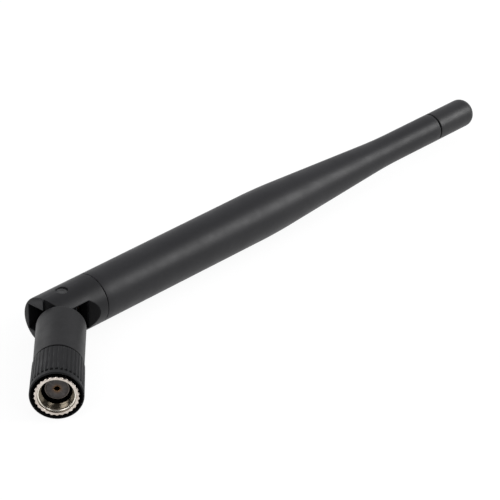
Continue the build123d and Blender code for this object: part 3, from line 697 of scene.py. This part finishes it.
# ---- stub pins, slightly dished and with a sprue dimple
pin_profile = [(0, 0.85), (1.02, 0.85), (1.10, 0.95), (1.10, 4.50), (1.085, 4.60), (1.03, 4.69), (0.93, 4.72), (0.60, 4.705),
               (0.42, 4.69), (0.34, 4.665), (0.18, 4.655), (0, 4.652)]
for node, sign in (("hinge_pin_upper", 1), ("hinge_pin_lower", -1)):
    pin = lathe("stub_" + node.split("_")[-1], PIN, [(r, h * sign) for r, h in divide(pin_profile, 0.4, False)], 72)
    stand_in(pin, node, "knuckle", "pin")

# ---- grip sleeve: plain lip, then 36 flutes back to the seam
FL, FLR, FLA = 36, 0.30, 5.02
grip_lip = soften([(4.2, -1.50), (4.70, -2.33), (4.76, -2.40), (4.87, -2.40), (5.0, -2.22), (4.985, -1.40)], [0, 0.04, 0.03, 0.06, 0.10, 0], 5, closed=False)
back_run = [(5.0 - 0.14 * (y + 2.08) / 9.13, y) for y in (-1.34, -1.31, -1.28, -1.24, -1.16, -1.06, -0.96, -0.86, -0.76, -0.66, -0.56, -0.44, -0.28)]
back_run += [(5.0 - 0.14 * (y + 2.08) / 9.13, y) for y in np.linspace(-0.1, 6.60, 24)]
grip_back = soften([(4.862, 6.66), (4.86, 6.91), (2.45, 6.91), (2.45, 6.5), (3.2, 6.5), (3.2, 5.92), (4.2, 5.92), (4.2, -2.4)],
                   [0, 0.20, 0.05, 0.05, 0.05, 0.05, 0.05, 0], 5, closed=False)[:-1]
grip_profile = grip_lip + back_run + [p for p in divide(grip_back, 0.9, False)]


def flute(r, h, ang):
    if r < 4.5 or h < -1.34 or h > 7.051:
        return r, h
    off = (ang + pi / FL) % (2 * pi / FL) - pi / FL
    side = FLA * sin(off)
    deep = min(1.0, max(0.0, (h + 1.34) / 0.10))
    deep = deep * deep * (3 - 2 * deep)
    rad = FLR
    if abs(side) >= rad:
        return r, h
    floor_ = FLA * cos(off) - sqrt(rad * rad - side * side)
    floor_ += 0.07
    floor_ -= 0.46 * max(0.0, 1 - max(0.0, h + 0.94) / 0.50) * (1 - (side / rad) ** 4)
    if r <= floor_:
        return r, h
    drop = (r - floor_)
    drop -= 0.035 * (1 - min(1.0, drop / 0.05)) if drop < 0.05 else 0
    return r - max(0.0, drop) * deep, h


grip = lathe("grip", PLUG, grip_profile, 36 * 14, flute)
stand_in(grip, "grip_sleeve", "nut", "grip")
# painted shade: the front recess and the flutes' front pockets get the darker copy of the grip plastic
grip.data.materials.append(MATS["grip_painted_shade"])
for face in grip.data.polygons:
    c = face.center / MM
    far = sqrt(c.x ** 2 + c.z ** 2)
    if (c.y < -1.40 and far < 4.73) or (-1.33 < c.y < -0.68 and 4.5 < far < 4.84):
        face.material_index = 1

# ---- coupling nut: 26 fine serrations, countersunk mouth, 1/4-36 thread
TEETH, PITCH = 26, 25.4 / 36
bead = [(3.42 - 0.25 * cos(a), -1.95 - 0.25 * sin(a)) for a in np.linspace(radians(-66), radians(100), 17)]
mouth = [(3.30, -1.62)] + bead + soften([(3.475, -2.20), (3.475, -2.50), (3.53, -2.6), (4.06, -2.6), (4.17, -2.49), (4.17, -2.0)],
                                        [0, 0.04, 0.03, 0.05, 0.05, 0], 5, closed=False)
nut_out = [(4.17, y) for y in (-1.0, 0.5, 2.0, 3.5, 5.0)]
nut_back = soften([(4.17, 5.5), (4.17, 5.9), (2.30, 5.9), (2.30, 4.15), (3.2, 4.15), (3.2, -0.1)],
                  [0, 0.1, 0.06, 0.06, 0.05, 0], 4, closed=False)
thread_run = [(3.0, y) for y in np.arange(-0.14, -1.60, -0.024)]
nut_profile = mouth + nut_out + divide(nut_back, 0.7, False) + thread_run


def nut_shape(r, h, ang):
    if r > 3.62:
        off = (ang * TEETH / (2 * pi)) % 1.0
        tri = abs(off * 2 - 1)                       # 1 at a root, 0 at a tip
        tri = tri * tri * (3 - 2 * tri) * 0.6 + tri * 0.4
        ease = min(1.0, (r - 3.62) / 0.4)
        return r - (0.03 + 0.19 * tri) * ease, h
    if r == 3.0:
        phase = ((h / PITCH) + ang / (2 * pi)) % 1.0
        v = abs(phase * 2 - 1)                       # 0 at a crest, 1 at a root
        v = min(1.0, max(0.0, (v - 0.14) / 0.74))
        rr = 2.82 + 0.36 * v
        front = 3.30 - 1.5 * (h + 1.60)
        rear = 3.2 - 2.2 * (-0.12 - h)
        return max(rr, front, rear), h
    return r, h


nut = lathe("nut", PLUG, nut_profile, 26 * 14, nut_shape)
stand_in(nut, "coupling_nut", "nut", "nickel")
# painted shade: the bore and threads get the dark copy of the nickel
nut.data.materials.append(MATS["bore"])
# painted highlight: the mouth bead gets the brighter copy of the nickel
nut.data.materials.append(MATS["bead"])
for face in nut.data.polygons:
    c = face.center / MM
    far = sqrt(c.x ** 2 + c.z ** 2)
    if c.y > -1.73 and far < 3.45 or c.y > -2.49 and 3.455 < far < 3.50:
        face.material_index = 1
    elif c.y > -2.23 and far < 3.47:
        face.material_index = 2

# ---- plug: body, insulator, gasket
body_profile = soften(
    [(2.05, 0.0), (2.22, 0.0), (2.30, 0.08), (2.30, 3.5), (2.75, 3.5), (2.75, 4.1), (2.25, 4.1), (2.25, 5.98), (1.98, 5.98),
     (1.98, 6.42), (2.25, 6.42), (2.25, 12.88), (1.85, 12.88), (1.85, 13.42), (2.25, 13.42), (2.25, 14.0), (2.05, 14.2),
     (1.05, 14.2), (1.05, 17.0), (0.44, 17.0), (0.44, 9.6), (1.36, 9.6), (1.36, 3.6), (2.05, 3.6)], 0.04, 3)


def knurled(r, h, ang):
    """Crimp stub knurled for grip on the braid."""
    if 14.5 < h < 16.9 and 1.04 < r < 1.06:
        return r - 0.035 * (0.5 - 0.5 * cos(24 * ang + 18 * h)) * (0.5 - 0.5 * cos(24 * ang - 18 * h)), h
    return r, h


plug_body = lathe("plug_body", PLUG, divide(body_profile, 0.35), 144, knurled)
stand_in(plug_body, "connector_body", "plug", "body")

disc = soften(
    [(0.635, 0.05), (0.75, 0.02), (1.92, 0.02), (2.05, 0.06), (2.05, 3.6), (1.36, 3.6), (1.36, 9.0), (0.635, 9.0), (0.635, 5.2),
     (0.82, 5.2), (0.82, 4.2), (0.635, 4.2)], 0.03, 3)
insulator = lathe("insulator", PLUG, divide(disc, 0.35), 128)
stand_in(insulator, "contact_insulator", "plug", "insulator")

ring = [(2.55 + 0.25 * cos(a) * (1.0 if abs(cos(a)) > 0 else 1), 3.1 + 0.4 * sin(a)) for a in np.linspace(0, 2 * pi, 29)[:-1]]
ring = [(2.55 + math.copysign(min(0.25, abs(0.31 * cos(a))), cos(a)), 3.1 + math.copysign(min(0.4, abs(0.46 * sin(a))), sin(a)))
        for a in np.linspace(0.03, 2 * pi + 0.03, 41)[:-1]]
gasket = lathe("gasket", PLUG, ring, 96)
stand_in(gasket, "sealing_gasket", "plug", "rubber")


# ---- centre contact: slotted socket, retaining collar, solder cup with its window
def contact_field(x, y, z):
    r = np.sqrt(x * x + z * z)
    rod = soft_and(soft_and(r - 0.635, -y, 0.10), y - 9.3, 0.08)
    collar = soft_and(r - 0.82, np.abs(y - 4.7) - 0.5, 0.05)
    solid = np.minimum(rod, collar)
    socket = np.minimum(np.maximum(r - 0.47, y - 2.8), hard_and((r - 0.47 + (y - 2.8) * 0.9), 2.75 - y))
    lead = (r - 0.47 - (0.12 - y) * 0.8) * 0.78
    socket = np.minimum(socket, np.maximum(lead, y - 0.3))
    cup = np.maximum(r - 0.17, 7.8 - y)
    window = hard_and(np.abs(x) - 0.11, -z, np.abs(y - 8.4) - 0.28)
    slits = np.minimum(np.abs(x), np.abs(z)) - 0.045
    slits = np.maximum(slits, y - 2.5)
    solid = cut(solid, socket, 0.05)
    solid = cut(solid, np.minimum(cup, window), 0.03)
    return cut(solid, slits, 0.03)


contact = net("contact", contact_field, (-0.82, 0, -0.82), (0.82, 9.3, 0.82), 0.036, place_plug)
stand_in(contact, "centre_contact", "plug", "contact")

# ---- cable through the hinge, bending between knuckle and blade
FLEX = 3.5
bend_r = FLEX / tan(pi / 8)
centre = PIVOT + Vector((bend_r, -FLEX, 0)) * MM
verts, faces, RINGS, SIDES = [], [], 48, 28
for i in range(RINGS + 1):
    a = pi / 4 * i / RINGS
    out_dir = Vector((-cos(a), sin(a), 0))
    for j in range(SIDES):
        b = 2 * pi * j / SIDES
        verts.append(centre + out_dir * bend_r * MM + (out_dir * cos(b) + Z * sin(b)) * 0.685 * MM)
for i in range(RINGS):
    for j in range(SIDES):
        a, b = i * SIDES + j, i * SIDES + (j + 1) % SIDES
        faces.append((a, b, b + SIDES, a + SIDES))
faces.append(list(range(SIDES))[::-1])
faces.append([RINGS * SIDES + j for j in range(SIDES)])
flex = new_object("hinge_cable", verts, faces, 50)
dress(flex, MATS["jacket_flex"])
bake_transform(flex)
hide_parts("coax_hinge_flex")

# ---- pieces that keep their CAD shape
KEEP = {
    "nut_snap_ring": "spring", "swivel_washer": "spring", "swivel_circlip": "spring", "crimp_ferrule": "ferrule",
    "swivel_bushing": "bushing", "coax_conductor_lower": "copper_lower", "coax_dielectric_lower": "diel_lower",
    "coax_braid_lower": "braid_lower", "coax_jacket_lower": "jacket_lower", "coax_jacket_upper": "jacket_upper",
    "coax_braid_upper": "braid_upper", "coax_dielectric_upper": "diel_upper", "coax_conductor_upper": "copper_upper",
    "lower_spacer": "foam", "balun_sleeve": "brass", "balun_spacer": "natural", "radiator_wire": "radiator",
    "feed_heat_shrink": "shrink", "coil_former": "natural", "mid_spacer": "foam", "top_spacer": "foam",
}
SPARE = {"radome_tube": "radome", "tip_cap": "cap", "hinge_yoke": "yoke", "knuckle_body": "knuckle", "hinge_pin_upper": "pin",
         "hinge_pin_lower": "pin", "grip_sleeve": "grip", "coupling_nut": "nickel", "connector_body": "body",
         "contact_insulator": "insulator", "centre_contact": "contact", "sealing_gasket": "rubber", "coax_hinge_flex": "jacket_flex"}
for name, mat in {**KEEP, **SPARE}.items():
    dress(nodes[name], MATS[mat])
for name in KEEP:
    nodes[name].data.shade_smooth()
    nodes[name].data.set_sharp_from_angle(angle=radians(32))

# ------------------------------------------------------------------ camera
cam = bpy.data.objects.new("camera", bpy.data.cameras.new("camera"))
bpy.context.scene.collection.objects.link(cam)
right = Vector((0.999602, -0.024383, 0.014184))
up = Vector((-0.000098, 0.4998, 0.866141))
back = Vector((-0.028208, -0.865798, 0.499598))
place = PIVOT + Vector((20.821, -440.664, 267.761)) * MM
cam.matrix_world = Matrix((
    (right.x, up.x, back.x, place.x),
    (right.y, up.y, back.y, place.y),
    (right.z, up.z, back.z, place.z),
    (0, 0, 0, 1)))
cam.data.sensor_width = 36
cam.data.lens = 197.2725
cam.data.clip_start = 0.01
cam.data.clip_end = 10
cam.data.shift_x, cam.data.shift_y = -0.0008, 0.0010
bpy.context.scene.camera = cam

# ------------------------------------------------------------------ floor and light
FLOOR_Z = cad_low[2] - 0.00002
bm = bmesh.new()
bmesh.ops.create_grid(bm, x_segments=8, y_segments=8, size=1.5)
mesh = bpy.data.meshes.new("floor")
bm.to_mesh(mesh); bm.free()
floor = bpy.data.objects.new("floor", mesh)
floor.location = (0, 0, FLOOR_Z)
bpy.context.scene.collection.objects.link(floor)
k = Mat("floor_white")
k.to("Base Color", k.ramp(k.noise(6, 2), [(0.3, (0.12, 0.12, 0.12)), (0.7, (0.14, 0.14, 0.14))]))
k.set(Roughness=0.9, Specular_IOR_Level=0.05, Emission_Color=(1, 1, 1, 1), Emission_Strength=0.90)
dress(floor, k.m)

world = bpy.data.worlds.new("studio")
bpy.context.scene.world = world
world.use_nodes = True
wt = world.node_tree
bg = wt.nodes["Background"]
bg.inputs["Strength"].default_value = 1.0
wc = wt.nodes.new("ShaderNodeTexCoord")
wr = wt.nodes.new("ShaderNodeValToRGB")
wm = wt.nodes.new("ShaderNodeVectorMath")
wm.operation = "DOT_PRODUCT"
wm.inputs[1].default_value = (0.10, 0.84, 0.53)
wh = wt.nodes.new("ShaderNodeMapRange")
wh.inputs["From Min"].default_value, wh.inputs["From Max"].default_value = -1.0, 1.0
wt.links.new(wc.outputs["Generated"], wm.inputs[0])
wt.links.new(wm.outputs["Value"], wh.inputs["Value"])
wt.links.new(wh.outputs["Result"], wr.inputs["Fac"])
wt.links.new(wr.outputs["Color"], bg.inputs["Color"])
e = wr.color_ramp.elements
e[0].position, e[0].color = 0.42, (0.07, 0.07, 0.07, 1)
e[1].position, e[1].color = 1.0, (0.92, 0.92, 0.95, 1)


def softbox(name, at, aim, size, watts, colour=(1, 1, 1), shape="RECTANGLE", size_y=None):
    data = bpy.data.lights.new(name, "AREA")
    data.shape, data.size, data.size_y, data.energy, data.color = shape, size, size_y or size, watts, colour
    lamp = bpy.data.objects.new(name, data)
    lamp.location = at
    lamp.rotation_euler = (Vector(aim) - Vector(at)).to_track_quat("-Z", "Y").to_euler()
    lamp.visible_camera = False
    bpy.context.scene.collection.objects.link(lamp)
    return lamp


def lamp_at(name, direction, distance, size, radiance, size_y=None, colour=(1, 1, 1)):
    """A softbox seen from the object in a direction, given by the brightness it is seen at."""
    d = Vector(direction).normalized()
    area = size * (size_y or size)
    return softbox(name, CENTRE + d * distance, CENTRE, size, radiance * area * pi, colour, size_y=size_y)


CENTRE = Vector((0.04, 0.05, 0))
lamp_at("side", (0.86, 0.09, 0.43), 0.8, 0.34, 13.6, 0.34)
lamp_at("left", (-0.93, -0.10, 0.30), 0.8, 0.30, 4.6, 0.30)
lamp_at("behind", (-0.52, -0.66, 0.54), 0.9, 0.46, 3.0, 0.46)
lamp_at("low_left", (-0.50, 0.85, 0.17), 0.9, 0.36, 1.3, 0.30)
lamp_at("behind_right", (0.46, -0.68, 0.57), 0.9, 0.30, 3.0, 0.30)
bpy.context.scene.view_settings.view_transform = "Standard"
